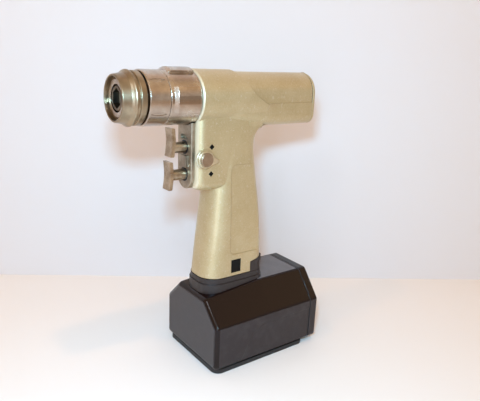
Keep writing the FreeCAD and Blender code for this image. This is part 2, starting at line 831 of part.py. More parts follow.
def rear_cover():
    """Rear cover with a rounded edge and a spigot, its gasket and its three screws."""
    body = new_body("rear_cover")
    front = cover_front + s.rear_gasket
    sketch = sketch_on(body, "XZ_Plane", -front)
    cover_outline(sketch)
    pad(body, sketch, s.rear_cover_width, backwards=True)
    back = tail.value
    eased(body, s.rear_edge_round, lambda edge: abs(middle(edge).y - back) < 0.01)
    spigot = sketch_on(body, "XZ_Plane", -front)
    circle(spigot, 0.0, axis, s.motor_radius)
    pad(body, spigot, s.rear_cover_spigot + s.rear_gasket)
    wire = sketch_on(body, "XZ_Plane", -tail)
    circle(wire, 0.0, axis, s.wire_bore + 0.3)
    pad(body, wire, 20.0, "Pocket", backwards=True)
    for radius, depth in ((s.rear_screw_radius, 20.0), (s.rear_screw_head, 1.8)):
        holes = sketch_on(body, "XZ_Plane", -tail)
        for across, up in rear_screw_places:
            circle(holes, across, axis + up, radius)
        pad(body, holes, depth, "Pocket", backwards=True)
    gasket = new_body("rear_gasket")
    sketch = sketch_on(gasket, "XZ_Plane", -cover_front)
    cover_outline(sketch, 0.4)
    circle(sketch, 0.0, axis, s.motor_radius)
    for across, up in rear_screw_places:
        circle(sketch, across, axis + up, s.rear_screw_radius)
    pad(gasket, sketch, s.rear_gasket, backwards=True)
    screws = new_body("rear_cover_screws")
    for radius, near, far in (
        (s.rear_screw_radius, cover_front - s.rear_screw_reach, tail - 1.8),
        (s.rear_screw_head, tail - 1.8, tail - 0.3),
    ):
        sketch = sketch_on(screws, "XZ_Plane", -near)
        for across, up in rear_screw_places:
            circle(sketch, across, axis + up, radius)
        pad(screws, sketch, far - near, backwards=True)
    drive = sketch_on(screws, "XZ_Plane", -(tail - 0.3))
    for across, up in rear_screw_places:
        circle(drive, across, axis + up, s.rear_screw_head * 0.45)
    pad(screws, drive, 1.0, "Pocket", backwards=True)


def grip_sections(body, wall, kind):
    """Lofts the grip, or its cavity when a wall is given, through level sections."""
    levels = [
        (s.grip_bottom, s.grip_front, s.grip_back, s.grip_half_width),
        (s.grip_bottom + 27.0, s.grip_front - 2.4, s.grip_back - 1.6, s.grip_half_width - 0.2),
        (s.grip_bottom + 57.0, s.grip_front - 5.4, s.grip_back - 4.3, s.grip_half_width - 0.8),
    ]
    upper = [
        (s.head_bottom + 11.0, s.grip_front - 7.6, s.grip_back - 8.6, s.head_half_width + 0.7),
        (axis - 35.0, s.grip_front - 8.4, s.grip_back - 10.9, s.head_half_width),
        (axis - 27.0, s.grip_front - 8.6, s.grip_back - 7.8, s.head_half_width - 0.2),
        (axis - 22.0, s.grip_front - 8.8, s.grip_back + 1.0, s.head_half_width - 0.4),
    ]
    if kind == "AdditiveLoft":
        levels += upper
    else:
        levels[0] = (s.grip_bottom - 1.0,) + levels[0][1:]
        levels.append((s.grip_cavity_top, s.grip_front - 6.2, s.grip_back - 5.6, s.grip_half_width - 1.2))
    sections = []
    for height, front, back, half in levels:
        section = sketch_on(body, "XY_Plane", height)
        side = half - wall
        front_round = s.grip_front_round - wall
        back_round = s.grip_back_round - wall
        outline(section, [
            (-side, -front + wall, front_round), (side, -front + wall, front_round),
            (side, back - wall, back_round), (-side, back - wall, back_round),
        ])
        sections.append(section)
    loft = body.newObject("PartDesign::" + kind, body.Name + "_loft")
    loft.Profile = sections[0]
    loft.Sections = sections[1:]


def side_panels(body):
    """Shallow panels in both sides of the grip, open towards its back."""
    low = s.side_panel_bottom
    top = s.side_panel_top
    lower_face = s.grip_half_width - 0.1 - s.side_panel_depth
    upper_face = s.head_half_width + 0.5 - s.side_panel_depth
    lean = (lower_face - upper_face) / (top - low)
    root = lower_face + lean * low
    tilt = math.degrees(math.atan(lean.value))
    for side in (1, -1):
        panel = sketch_on(body, "YZ_Plane", root * side)
        panel.AttachmentOffset = FreeCAD.Placement(
            Vector(0, 0, root.value * side), FreeCAD.Rotation(Vector(1, 0, 0), -tilt * side))
        bind(panel, "AttachmentOffset.Base.z", root * side)
        outline(panel, [
            (s.side_panel_front, low, s.side_panel_corner), (s.grip_back + 5.0, low),
            (s.grip_back + 5.0, top), (s.side_panel_front, top, s.side_panel_corner),
        ])
        pad(body, panel, 5.0, "Pocket", backwards=side > 0)


def hollow(body):
    """Cuts the gear and motor bores, grip cavity, trigger slot, notch and side panels."""
    collar_room = sketch_on(body, "XZ_Plane", s.head_front + 1.0)
    circle(collar_room, 0.0, axis, s.barrel_radius + s.moving_gap)
    pad(body, collar_room, housing_front + s.head_front + 1.0, "Pocket")
    gear_bore = sketch_on(body, "XZ_Plane", -housing_front)
    circle(gear_bore, 0.0, axis, s.spigot_radius)
    pad(body, gear_bore, gear_back + 2.0 - housing_front, "Pocket")
    motor_bore = sketch_on(body, "XZ_Plane", -housing_front)
    circle(motor_bore, 0.0, axis, s.motor_radius)
    pad(body, motor_bore, tail - housing_front, "Pocket")
    grip_sections(body, s.grip_wall, "SubtractiveLoft")
    slot = sketch_on(body, "XZ_Plane", s.head_front + s.block_proud + 1.0)
    half = s.block_half_width
    low = s.head_bottom + 0.6
    top = axis - 4.0
    outline(slot, [(-half, low, half - 0.01), (half, low, half - 0.01), (half, top), (-half, top)])
    pad(body, slot, s.block_depth + s.block_proud + 1.0, "Pocket", backwards=False)
    notch = sketch_on(body, "YZ_Plane")
    outline(notch, [
        (s.notch_front, s.grip_bottom - 1.0), (s.notch_front, s.grip_bottom + s.notch_height),
        (s.grip_back + 2.0, s.grip_bottom + s.notch_height + s.notch_slope),
        (s.grip_back + 2.0, s.grip_bottom - 1.0),
    ])
    pad(body, notch, 60.0, "Pocket", both_ways=True)
    hole = sketch_on(body, "YZ_Plane", s.head_half_width + s.selector_boss_height)
    circle(hole, -s.selector_along, s.selector_height, s.selector_shaft_radius + s.running_gap)
    pad(body, hole, s.selector_boss_height + 4.2, "Pocket")
    screws = sketch_on(body, "XZ_Plane", -cover_front)
    for across, up in rear_screw_places:
        circle(screws, across, axis + up, s.rear_screw_radius)
    pad(body, screws, 9.0, "Pocket", backwards=True)


def trigger_block():
    """Steel block that guides both trigger stems, with a rounded lower end and a boss between them."""
    body = new_body("trigger_block")
    half = s.block_half_width
    low = s.head_bottom + 0.6
    top = axis - s.barrel_radius + 2.0
    sketch = sketch_on(body, "XZ_Plane", -block_front)
    outline(sketch, [(-half, low, half - 0.01), (half, low, half - 0.01), (half, top), (-half, top)])
    pad(body, sketch, s.block_depth, backwards=True)
    face = block_front.value
    eased(body, 1.0, lambda edge: abs(middle(edge).y - face) < 0.01 and middle(edge).z < top.value - 1)
    boss = sketch_on(body, "XZ_Plane", -(block_front + 1.0))
    gap = (s.upper_stem_height - s.lower_stem_height) / 2 - s.stem_seal_radius - 0.4
    centre = (s.upper_stem_height + s.lower_stem_height) / 2
    wide = s.block_boss_half_width
    outline(boss, [
        (-wide, centre - gap, 1.5), (wide, centre - gap, 1.5),
        (wide, centre + gap, 1.5), (-wide, centre + gap, 1.5),
    ])
    pad(body, boss, s.block_boss_height + 1.0)
    clear = sketch_on(body, "XZ_Plane", -block_front)
    circle(clear, 0.0, axis, s.barrel_radius + s.moving_gap)
    pad(body, clear, s.block_depth, "Pocket")
    bores = sketch_on(body, "XZ_Plane", -block_front)
    seats = sketch_on(body, "XZ_Plane", -block_front)
    for height in (s.upper_stem_height, s.lower_stem_height):
        circle(bores, 0.0, height, s.stem_radius + s.running_gap)
        circle(seats, 0.0, height, s.stem_seal_radius)
    pad(body, bores, s.block_depth - 1.5, "Pocket")
    pad(body, seats, s.stem_seal_width, "Pocket")
    window = sketch_on(body, "XZ_Plane", -block_front)
    floor = s.upper_stem_height + s.stem_seal_radius + 0.6
    outline(window, [
        (-wide, floor, 1.2), (wide, floor, 1.2), (wide, floor + 3.6, 1.2), (-wide, floor + 3.6, 1.2),
    ])
    pad(body, window, 2.4, "Pocket")
    holes = sketch_on(body, "XZ_Plane", -block_front)
    for height in block_screw_heights:
        circle(holes, s.block_half_width - 2.6, height, s.block_screw_radius)
    pad(body, holes, 2.0, "Pocket")


def block_screws():
    """Two small socket screws that hold the trigger block in the head."""
    body = new_body("block_screws")
    heads = sketch_on(body, "XZ_Plane", -(block_front + 2.0))
    for height in block_screw_heights:
        circle(heads, s.block_half_width - 2.6, height, s.block_screw_radius)
    pad(body, heads, 1.6)
    sockets = sketch_on(body, "XZ_Plane", -(block_front + 0.4))
    for height in block_screw_heights:
        circle(sockets, s.block_half_width - 2.6, height, s.block_screw_radius * 0.5)
    pad(body, sockets, 0.8, "Pocket")


def stem_seals():
    """Two lip seals round the trigger stems in the face of the trigger block."""
    body = new_body("stem_seals")
    outer = sketch_on(body, "XZ_Plane", -block_front)
    for height in (s.upper_stem_height, s.lower_stem_height):
        circle(outer, 0.0, height, s.stem_seal_radius)
        circle(outer, 0.0, height, s.stem_radius + s.running_gap)
    pad(body, outer, s.stem_seal_width, backwards=True)


def trigger_springs():
    """Return springs behind the trigger stems, one in each bore of the block."""
    front = stem_back + 0.1
    back = block_back - 1.6
    for name, height in (("upper", s.upper_stem_height), ("lower", s.lower_stem_height)):
        coil(name + "_trigger_spring", front, back, s.trigger_spring_radius, s.trigger_spring_wire, 3,
             0.0, height)


def trigger(label, stem_height, pad_height, reach):
    """A trigger: a finger pad with a hollow front on a round stem."""
    body = new_body(label)
    side = sketch_on(body, "YZ_Plane")
    half = s.pad_length / 2
    front = -reach
    back = front + s.pad_thickness
    dip = 1.1
    outline(side, [
        (front, pad_height + half), (front + dip, pad_height, 40.0), (front - 0.4, pad_height - half),
        (back - 0.4, pad_height - half, 1.0), (back + dip, pad_height, 40.0), (back, pad_height + half, 1.0),
    ])
    pad(body, side, s.pad_width, both_ways=True)
    stem = sketch_on(body, "XZ_Plane", -(back - 0.6))
    circle(stem, 0.0, stem_height, s.stem_radius)
    pad(body, stem, stem_back - (back - 0.6), backwards=True)


def selector():
    """Mode selector: a teardrop lever on a shaft through the side of the head, with a button in it."""
    turn = FreeCAD.Rotation(Vector(1, 0, 0), -s.selector_rest_angle.value)
    body = new_body("selector_lever")
    sketch = sketch_on(body, "YZ_Plane", selector_face)
    circle(sketch, 0.0, 0.0, s.selector_radius)
    pad(body, sketch, s.selector_thickness)
    pointer = sketch_on(body, "YZ_Plane", selector_face)
    outline(pointer, [
        (0.5, s.selector_radius - 0.15), (0.5, 0.15 - s.selector_radius), (s.selector_reach, 0.0, 1.4),
    ])
    pad(body, pointer, s.selector_thickness)
    lever_top = (selector_face + s.selector_thickness).value
    eased(body, 0.6, lambda edge: abs(middle(edge).x - lever_top) < 0.01, "Chamfer")
    shaft = sketch_on(body, "YZ_Plane", selector_face + 0.5)
    circle(shaft, 0.0, 0.0, s.selector_shaft_radius)
    pad(body, shaft, s.selector_boss_height + 4.0, backwards=True)
    button = new_body("selector_button")
    sketch = sketch_on(button, "YZ_Plane", selector_face + s.selector_thickness)
    circle(sketch, 0.0, 0.0, s.selector_button_radius)
    pad(button, sketch, s.selector_button_height)
    button_top = (selector_face + s.selector_thickness + s.selector_button_height).value
    eased(button, 0.5, lambda edge: abs(middle(edge).x - button_top) < 0.01, "Chamfer")
    for piece in (body, button):
        piece.Placement.Rotation = turn
        bind(piece, "Placement.Base.y", -s.selector_along)
        bind(piece, "Placement.Base.z", s.selector_height)


def pack_section(sketch, inner=0.0, crown=None):
    """The faceted section of the battery up to a crown height, made smaller all round by inner."""
    half = s.battery_width / 2 - inner
    top_half = s.battery_top_width / 2 - inner * 0.6
    base = s.foot_thickness + inner
    side = s.battery_side_top - inner * 0.3
    top = (crown or s.battery_top) - inner
    edge = s.battery_edge_round - inner * 0.6
    outline(sketch, [
        (-half, base, edge), (half, base, edge), (half, side, edge), (top_half, top, edge),
        (-top_half, top, edge), (-half, side, edge),
    ])


def rounded_box(sketch, half, low, top, corner=0.0):
    """A box across the middle of a sketch, from low to top, with its corners rounded."""
    outline(sketch, [(-half, low, corner), (half, low, corner), (half, top, corner), (-half, top, corner)])


def grip_outline(sketch, grow=0.0):
    """The outline of the grip's lower end, grown by grow."""
    wide = s.grip_half_width + grow
    front = -s.grip_front - grow
    back = s.grip_back + grow
    outline(sketch, [
        (-wide, front, s.grip_front_round), (wide, front, s.grip_front_round),
        (wide, back, s.grip_back_round), (-wide, back, s.grip_back_round),
    ])


def battery_shell():
    """Faceted battery shell, open at the back and where the neck stands in it."""
    shell = new_body("battery_shell")
    front_section = sketch_on(shell, "XZ_Plane", s.battery_front)
    pack_section(front_section, 0.0, s.battery_front_top)
    deck_section = sketch_on(shell, "XZ_Plane", -s.deck_slope_end)
    pack_section(deck_section)
    slope = shell.newObject("PartDesign::AdditiveLoft", "battery_shell_slope")
    slope.Profile = front_section
    slope.Sections = [deck_section]
    slope.Ruled = True
    pad(shell, deck_section, battery_seam - s.deck_slope_end, backwards=True)
    front = -s.battery_front.value
    low = s.foot_thickness.value + 6
    rounding = s.battery_front_round
    eased(shell, rounding, lambda edge: abs(middle(edge).y - front) < 0.01 and middle(edge).z > low)
    relief = sketch_on(shell, "YZ_Plane", s.battery_width / 2)
    corners = [
        (battery_seam + 1.0, s.battery_side_top - 8.2), (24.0, s.battery_side_top - 8.2, 8.0),
        (14.6, s.battery_side_top - 15.0, 12.0), (1.0, s.foot_thickness - 1.0),
        (battery_seam + 1.0, s.foot_thickness - 1.0),
    ]
    outline(relief, corners)
    pad(shell, relief, s.side_relief, "Pocket")
    other = sketch_on(shell, "YZ_Plane", -s.battery_width / 2 + s.side_relief)
    outline(other, corners)
    pad(shell, other, s.side_relief + 1.0, "Pocket")
    cavity = sketch_on(shell, "XZ_Plane", s.battery_front - s.battery_wall)
    pack_section(cavity, s.battery_wall, s.battery_front_top)
    pad(shell, cavity, battery_seam + s.battery_front, "Pocket")
    high_cavity = sketch_on(shell, "XZ_Plane", -s.deck_slope_end)
    pack_section(high_cavity, s.battery_wall)
    pad(shell, high_cavity, battery_seam - s.deck_slope_end + 1.0, "Pocket")
    opening = sketch_on(shell, "XY_Plane", neck_bottom)
    grip_outline(opening, s.neck_overhang)
    pad(shell, opening, 40.0, "Pocket", backwards=True)
    tray = sketch_on(shell, "XY_Plane", s.battery_top - s.top_plate_thickness)
    half = s.top_plate_width / 2
    plate_back = battery_seam - 1.6
    plate_corners = [
        (-half, s.top_plate_front), (half, s.top_plate_front), (half, plate_back), (-half, plate_back),
    ]
    outline(tray, plate_corners)
    pad(shell, tray, 10.0, "Pocket", backwards=True)
    plate = new_body("battery_top_plate")
    sketch = sketch_on(plate, "XY_Plane", s.battery_top - s.top_plate_thickness)
    outline(sketch, plate_corners)
    pad(plate, sketch, s.top_plate_thickness)
    clear = sketch_on(plate, "XY_Plane", s.battery_top - s.top_plate_thickness)
    grip_outline(clear, s.neck_overhang)
    pad(plate, clear, s.top_plate_thickness, "Pocket", backwards=True)


def battery_ends():
    """Rear cap with its gasket, and the foot plate that the drill stands on."""
    cap = new_body("battery_rear_cap")
    section = sketch_on(cap, "XZ_Plane", -(battery_seam + s.rear_cap_seam))
    pack_section(section)
    pad(cap, section, s.rear_cap_length - s.rear_cap_seam, backwards=True)
    back = tail.value
    eased(cap, 1.6, lambda edge: abs(middle(edge).y - back) < 0.01)
    gasket = new_body("battery_gasket")
    section = sketch_on(gasket, "XZ_Plane", -battery_seam)
    pack_section(section, 0.7)
    pack_section(section, s.battery_wall)
    pad(gasket, section, s.rear_cap_seam, backwards=True)
    foot = new_body("battery_foot")
    sketch = sketch_on(foot, "XY_Plane")
    side = s.battery_width / 2 - s.foot_inset
    front = -s.battery_front + s.foot_inset
    back = battery_seam - 3.0
    round_off = s.foot_corner
    outline(sketch, [
        (-side, front, round_off), (side, front, round_off),
        (side, back, round_off), (-side, back, round_off),
    ])
    pad(foot, sketch, s.foot_thickness)


def battery_neck():
    """Neck of the battery: a stepped collar under the grip, a riser behind it and a post inside it."""
    neck = new_body("battery_neck")
    sketch = sketch_on(neck, "XY_Plane", neck_bottom)
    grip_outline(sketch, s.neck_overhang)
    pad(neck, sketch, neck_top - s.neck_step - neck_bottom)
    upper = sketch_on(neck, "XY_Plane", neck_top - s.neck_step)
    grip_outline(upper, s.neck_overhang * 0.3)
    pad(neck, upper, s.neck_step)
    riser = sketch_on(neck, "XY_Plane", neck_top - 1.0)
    grip_outline(riser)
    pad(neck, riser, s.notch_height + s.notch_slope + 4.0)
    side = sketch_on(neck, "YZ_Plane")
    gap = s.neck_gap
    outline(side, [
        (-s.grip_front - 5.0, neck_top), (s.notch_front + gap, neck_top),
        (s.notch_front + gap, s.grip_bottom + s.notch_height - gap),
        (s.grip_back + 2.0, s.grip_bottom + s.notch_height + s.notch_slope - gap),
        (s.grip_back + 2.0, neck_top + 40.0), (-s.grip_front - 5.0, neck_top + 40.0),
    ])
    pad(neck, side, s.battery_width, "Pocket", both_ways=True)
    post = sketch_on(neck, "XY_Plane", neck_top - 1.0)
    wide = s.post_half_width
    outline(post, [
        (-wide, -s.post_front, 3.0), (wide, -s.post_front, 3.0),
        (wide, s.post_back, 3.0), (-wide, s.post_back, 3.0),
    ])
    pad(neck, post, s.post_height + 1.0)
    hollow_part = sketch_on(neck, "XY_Plane", neck_bottom)
    grip_outline(hollow_part, -s.neck_wall)
    pad(neck, hollow_part, neck_top - s.neck_wall - neck_bottom, "Pocket", backwards=True)
    floor = s.grip_back - s.latch_reach
    low = s.grip_bottom + s.latch_rise
    pocket = sketch_on(neck, "XZ_Plane", -floor)
    gap = s.latch_gap
    rounded_box(pocket, s.latch_width / 2 + gap, low - gap, low + s.latch_height + gap)
    pad(neck, pocket, 20.0, "Pocket")
    latch = new_body("latch_button")
    face = floor + s.latch_travel + 0.5
    sketch = sketch_on(latch, "XZ_Plane", -face)
    rounded_box(sketch, s.latch_width / 2, low, low + s.latch_height, 1.0)
    pad(latch, sketch, s.latch_reach + 1.0, backwards=True)
    middle_height = low + s.latch_height / 2
    seat = sketch_on(neck, "XZ_Plane", -floor)
    circle(seat, 0.0, middle_height, s.latch_spring_radius + s.trigger_spring_wire)
    pad(neck, seat, s.latch_spring_seat, "Pocket", backwards=True)
    coil("latch_spring", floor - s.latch_spring_seat + 0.1, face - 0.1, s.latch_spring_radius,
         s.trigger_spring_wire * 0.6, 3, 0.0, middle_height)


def battery_inside():
    """Cells, their frame, the battery board and the contact blades on the post."""
    cells = new_body("battery_cells")
    front = -s.battery_front + s.battery_wall + s.battery_front_round + 4.0
    sketch = sketch_on(cells, "XZ_Plane", -front)
    low = s.foot_thickness + s.battery_wall + s.cell_radius + 1.2
    for level in range(2):
        for column in range(3):
            circle(sketch, s.cell_pitch * (column - 1.0), low + s.cell_pitch * float(level), s.cell_radius)
    pad(cells, sketch, s.cell_length, backwards=True)
    frame = new_body("cell_frame")
    sketch = sketch_on(frame, "XZ_Plane", -(front + s.cell_length))
    half = s.cell_pitch * 1.5 + 1.0
    bottom = s.foot_thickness + s.battery_wall
    top = low + s.cell_pitch + s.cell_radius
    rounded_box(sketch, half, bottom, top)
    pad(frame, sketch, s.cell_frame_width, backwards=True)
    board = new_body("battery_board")
    sketch = sketch_on(board, "XZ_Plane", -(front + s.cell_length + s.cell_frame_width * 2))
    rounded_box(sketch, half - s.board_margin, bottom + s.board_margin, top - s.board_margin)
    pad(board, sketch, s.board_thickness, backwards=True)
    blades = new_body("battery_contacts")
    base = neck_top + s.post_height
    sketch = sketch_on(blades, "XY_Plane", base)
    for across in contact_places:
        half = s.contact_width / 2
        outline(sketch, [
            (across - half, 2.0), (across + half, 2.0), (across + half, 12.0), (across - half, 12.0),
        ])
    pad(blades, sketch, s.contact_height)


def grip_inside():
    """Contact block and control board inside the grip."""
    block = new_body("contact_block")
    base = neck_top + s.post_height + 0.6
    sketch = sketch_on(block, "XY_Plane", base)
    wide = s.post_half_width
    outline(sketch, [
        (-wide, -s.post_front + 2.0), (wide, -s.post_front + 2.0),
        (wide, s.post_back - 2.0), (-wide, s.post_back - 2.0),
    ])
    for across in contact_places:
        half = s.contact_width / 2 + 0.35
        outline(sketch, [
            (across - half, 1.6), (across + half, 1.6), (across + half, 12.4), (across - half, 12.4),
        ])
    pad(block, sketch, s.contact_height + 0.4)
    board = new_body("control_board")
    sketch = sketch_on(board, "YZ_Plane")
    low = base + s.contact_height + 0.4
    outline(sketch, [
        (-s.post_front + 4.0, low), (s.post_back - 4.0, low), (s.post_back - 5.0, low + s.board_height * 0.8),
        (-s.post_front + 5.0, low + s.board_height * 0.8),
    ])
    pad(board, sketch, s.board_thickness, both_ways=True)


release_sleeve()
nose_bush()
stop_ring()
sleeve_spring()
output_spindle()
bearing("front_bearing", bearing_front, s.front_bearing_width, s.spindle_radius + s.running_gap,
        s.front_bearing_radius)
bearing("rear_bearing", rear_bearing_front, s.rear_bearing_width, s.spindle_radius + s.running_gap,
        s.rear_bearing_radius)
barrel_sleeve()
speed_collar()
ring_gear()
planet_gears()
planet_pins()
gear("sun_pinion", gear_front + 0.8, s.gear_width, s.sun_teeth, s.shaft_radius - 0.7)
rotor()
motor_stator()
motor_end_plates()
bearing("motor_front_bearing", stator_front - s.motor_bearing_width, s.motor_bearing_width,
        s.shaft_radius + s.running_gap, s.motor_bearing_radius)
bearing("motor_rear_bearing", stator_back, s.motor_bearing_width, s.shaft_radius + s.running_gap,
        s.motor_bearing_radius)
main_housing()
rear_cover()
trigger_block()
block_screws()
stem_seals()
trigger_springs()
trigger("upper_trigger", s.upper_stem_height, s.upper_pad_height, s.upper_pad_reach)
trigger("lower_trigger", s.lower_stem_height, s.lower_pad_height, s.lower_pad_reach)
selector()
battery_shell()
battery_ends()
battery_neck()
battery_inside()
grip_inside()
document.recompute()

for thing in document.Objects:
    if "Invalid" in thing.State or "Error" in thing.State:
        raise RuntimeError(f"{thing.Label} failed: {thing.State}")
os.makedirs("parts", exist_ok=True)
for node in nodes:
    shape = node.Shape
    if shape.isNull() or not shape.isValid() or shape.Volume <= 0:
        raise RuntimeError(f"{node.Label} has no valid shape")
    shape.exportStep(f"parts/{node.Label}.step")
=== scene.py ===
"""Looks of the surgical power drill: coats, steel, plastic, small marks, lights and the camera."""
import math

import bpy
from mathutils import Matrix, Vector


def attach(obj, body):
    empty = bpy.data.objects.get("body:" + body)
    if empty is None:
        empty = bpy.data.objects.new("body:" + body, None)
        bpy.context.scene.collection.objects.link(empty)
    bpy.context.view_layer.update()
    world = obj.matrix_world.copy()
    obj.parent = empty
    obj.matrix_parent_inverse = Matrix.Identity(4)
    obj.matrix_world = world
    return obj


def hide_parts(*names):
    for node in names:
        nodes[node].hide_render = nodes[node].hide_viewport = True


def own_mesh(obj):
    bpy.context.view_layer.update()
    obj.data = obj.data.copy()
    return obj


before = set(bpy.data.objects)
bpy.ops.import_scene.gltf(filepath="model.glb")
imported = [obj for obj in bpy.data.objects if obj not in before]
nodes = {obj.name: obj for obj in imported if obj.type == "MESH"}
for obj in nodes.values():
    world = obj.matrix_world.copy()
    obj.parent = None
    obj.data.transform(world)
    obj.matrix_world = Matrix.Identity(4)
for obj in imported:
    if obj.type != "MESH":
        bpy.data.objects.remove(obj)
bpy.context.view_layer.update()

MM = 0.001


def tone(red, green, blue):
    """A shader colour from the 0 to 255 values that it shows on a screen."""
    steps = [value / 255 for value in (red, green, blue)]
    return tuple(v / 12.92 if v <= 0.04045 else ((v + 0.055) / 1.055) ** 2.4 for v in steps) + (1.0,)


ROOM_LOW = (0.62, 0.54, 0.46, 1.0)
ROOM_DIM = (0.54, 0.44, 0.36, 1.0)
ROOM_MIDDLE = (0.94, 0.65, 0.38, 1.0)
ROOM_TOP = (0.62, 0.47, 0.32, 1.0)
ROOM_STRENGTH = 1.0
FLASH_POWER = 2.2
FLASH_COLOUR = (0.35, 0.72, 1.0)
STRIP_POWER = 0.62
WINDOW_POWER = 0.55
CEILING_POWER = 1.7
FRONT_POWER = 1.25
TABLE_PAPER = tone(232, 230, 230)
WALL_PAPER = tone(221, 218, 221)


class Value:
    """A shader socket that takes part in plain arithmetic."""

    def __init__(self, coat, socket):
        self.coat = coat
        self.socket = socket

    def _math(self, operation, first, second=0.0, clamp=False):
        return self.coat.node("ShaderNodeMath", {"operation": operation, "use_clamp": clamp}, {0: first, 1: second})

    def __add__(self, other):
        return self._math("ADD", self, other)

    __radd__ = __add__

    def __sub__(self, other):
        return self._math("SUBTRACT", self, other)

    def __rsub__(self, other):
        return self._math("SUBTRACT", other, self)

    def __mul__(self, other):
        return self._math("MULTIPLY", self, other)

    __rmul__ = __mul__

    def __truediv__(self, other):
        return self._math("DIVIDE", self, other)

    def above(self, low, high):
        """0 below low, 1 above high, and a smooth step between."""
        return self.coat.node("ShaderNodeMapRange", {"interpolation_type": "SMOOTHSTEP"},
                              {"Value": self, "From Min": low, "From Max": high})


class Coat:
    """A material being mixed: its nodes, its principled shader and the sockets that feed it."""

    def __init__(self, name):
        self.material = bpy.data.materials.new(name)
        self.material.use_nodes = True
        self.tree = self.material.node_tree
        self.shader = self.tree.nodes["Principled BSDF"]

    def node(self, kind, settings=None, sockets=None, output=0):
        """Adds a node with its settings and sockets, and gives one of its outputs."""
        node = self.tree.nodes.new(kind)
        for name, value in (settings or {}).items():
            setattr(node, name, value)
        for name, value in (sockets or {}).items():
            self.feed(node.inputs[name], value)
        return Value(self, node.outputs[output])

    def feed(self, socket, value):
        """Links or sets one input."""
        if isinstance(value, Value):
            self.tree.links.new(value.socket, socket)
        else:
            socket.default_value = value

    def place(self, scale=(1, 1, 1), turn=(0, 0, 0), centre=(0, 0, 0)):
        """Object coordinates, moved to a centre, turned and scaled."""
        spot = self.node("ShaderNodeTexCoord", output=3)
        moved = self.node("ShaderNodeVectorMath", {"operation": "SUBTRACT"}, {0: spot, 1: centre})
        return self.node("ShaderNodeMapping", {"vector_type": "POINT"},
                         {"Vector": moved, "Rotation": turn, "Scale": scale})

    def noise(self, scale, detail=2.0, rough=0.5, at=None):
        """Soft noise between 0 and 1, its scale in cells for each metre."""
        at = at or self.place()
        return self.node("ShaderNodeTexNoise", {"noise_dimensions": "3D"},
                         {"Vector": at, "Scale": scale, "Detail": detail, "Roughness": rough})

    def parts(self, vector):
        """The three parts of a vector."""
        node = self.tree.nodes.new("ShaderNodeSeparateXYZ")
        self.tree.links.new(vector.socket, node.inputs[0])
        return [Value(self, socket) for socket in node.outputs]

    def facing(self):
        """The parts of the surface normal in the drill's frame."""
        return self.parts(self.node("ShaderNodeTexCoord", output=1))

    def mix(self, mask, first, second):
        """A colour between two, by a mask."""
        node = self.tree.nodes.new("ShaderNodeMix")
        node.data_type = "RGBA"
        self.feed(node.inputs[0], mask)
        self.feed(node.inputs[6], first)
        self.feed(node.inputs[7], second)
        return Value(self, node.outputs[2])

    def bump(self, height, distance, strength=1.0, over=None):
        """A normal roughened by a height."""
        sockets = {"Height": height, "Distance": distance, "Strength": strength}
        if over:
            sockets["Normal"] = over
        return self.node("ShaderNodeBump", None, sockets)

    def soft_edges(self, radius):
        """Normals that round sharp edges off."""
        return self.node("ShaderNodeBevel", {"samples": 6}, {"Radius": radius})

    def done(self, **sockets):
        """Feeds the principled shader and gives the material."""
        for name, value in sockets.items():
            self.feed(self.shader.inputs[name.replace("_", " ")], value)
        return self.material


def champagne_coat():
    """Champagne metallic coat: fine grain, small pale nicks, a few dark specks and a painted highlight along the
    front lip.
    """
    coat = Coat("champagne_coat")
    patches = coat.noise(48, 4, 0.55)
    grain = coat.noise(900, 3, 0.6)
    specks = coat.noise(1100, 1, 0.4).above(0.75, 0.79)
    nicks = coat.noise(430, 4, 0.7).above(0.585, 0.67)
    along = coat.parts(coat.place())[1]
    # Painted highlight: a pale band along the hood's front lip stands in for the flash's highlight on that rounded
    # edge.
    lip = 1 - along.above(-0.0268, -0.0256)
    shade = coat.mix(patches.above(0.3, 0.72), tone(187, 166, 125), tone(197, 178, 139))
    shade = coat.mix(grain.above(0.3, 0.75) * 0.35, shade, tone(213, 199, 167))
    shade = coat.mix(nicks * 0.35, shade, tone(222, 214, 194))
    shade = coat.mix(specks * 0.5, shade, tone(120, 104, 78))
    # The pale tone here is the painted highlight of the front lip.
    shade = coat.mix(lip * 0.7, shade, tone(240, 232, 208))
    normal = coat.bump(grain, 0.00004, 0.4, over=coat.soft_edges(0.0012))
    return coat.done(Base_Color=shade, Metallic=0.66, Roughness=grain * 0.12 + 0.36, Coat_Weight=0.3,
                     Coat_Roughness=0.3, Normal=normal)


def turned_steel(name, dark, light, rough, painted_flat_shade=None):
    """Satin steel with fine turning marks round the drill axis. Its last argument is a painted darker tone,
    standing in for the shade and dark reflection on its flat lug faces.
    """
    coat = Coat(name)
    rings = coat.noise(1, 2, 0.6, at=coat.place(scale=(40, 5200, 40)))
    stain = coat.noise(70, 3, 0.6)
    shade = coat.mix(stain.above(0.35, 0.7), dark, light)
    if painted_flat_shade:
        # Painted shade: the flat faces of the lugs get a darker tone in place of the dark reflection they show.
        across, along, up = coat.facing()
        flats = (across * across).above(0.975, 0.99) + (up * up).above(0.975, 0.99)
        shade = coat.mix(flats * 0.8, shade, painted_flat_shade)
    normal = coat.bump(rings, 0.00003, 0.6, over=coat.soft_edges(0.0005))
    return coat.done(Base_Color=shade, Metallic=1.0, Roughness=stain * 0.12 + rough, Normal=normal)


def satin_steel(name="satin_steel", dark=tone(146, 134, 118), light=tone(178, 166, 148), rough=0.34):
    """Blasted grey steel with light handling marks."""
    coat = Coat(name)
    grain = coat.noise(900, 2, 0.6)
    marks = coat.noise(120, 4, 0.65)
    shade = coat.mix(marks.above(0.35, 0.7), dark, light)
    normal = coat.bump(grain, 0.00004, 0.5, over=coat.soft_edges(0.0005))
    return coat.done(Base_Color=shade, Metallic=0.95, Roughness=marks * 0.15 + rough, Normal=normal)


